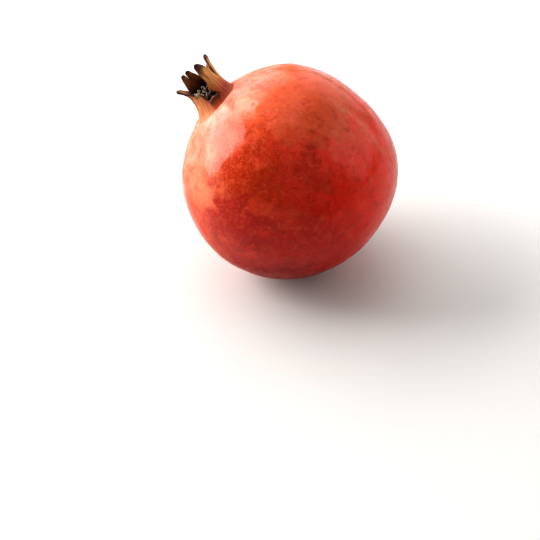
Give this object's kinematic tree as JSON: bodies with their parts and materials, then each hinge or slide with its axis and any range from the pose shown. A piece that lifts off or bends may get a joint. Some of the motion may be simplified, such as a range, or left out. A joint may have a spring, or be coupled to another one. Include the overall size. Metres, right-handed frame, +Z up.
{
  "type": "pomegranate",
  "caption": "Whole pomegranate, a round fruit with blunt ridges that lies with its open crown leaning up to one side",
  "frame": {"origin": "middle of the small flat spot that the fruit rests on", "axes": "+Z up; the crown leans from upright towards -X, 49 degrees, in the XZ plane; the stem is low on the +X side"},
  "size_m": [0.0928, 0.0879, 0.0897],
  "materials": {
    "rind": "smooth waxy red skin, browner and dry on the crown",
    "stamens": "dry pale tan filaments",
    "stem": "dry bark with a pale cut face"
  },
  "bodies": {
    "root": {"fruit": "rind", "stamens": "stamens", "stem": "stem"}
  },
  "joints": []
}
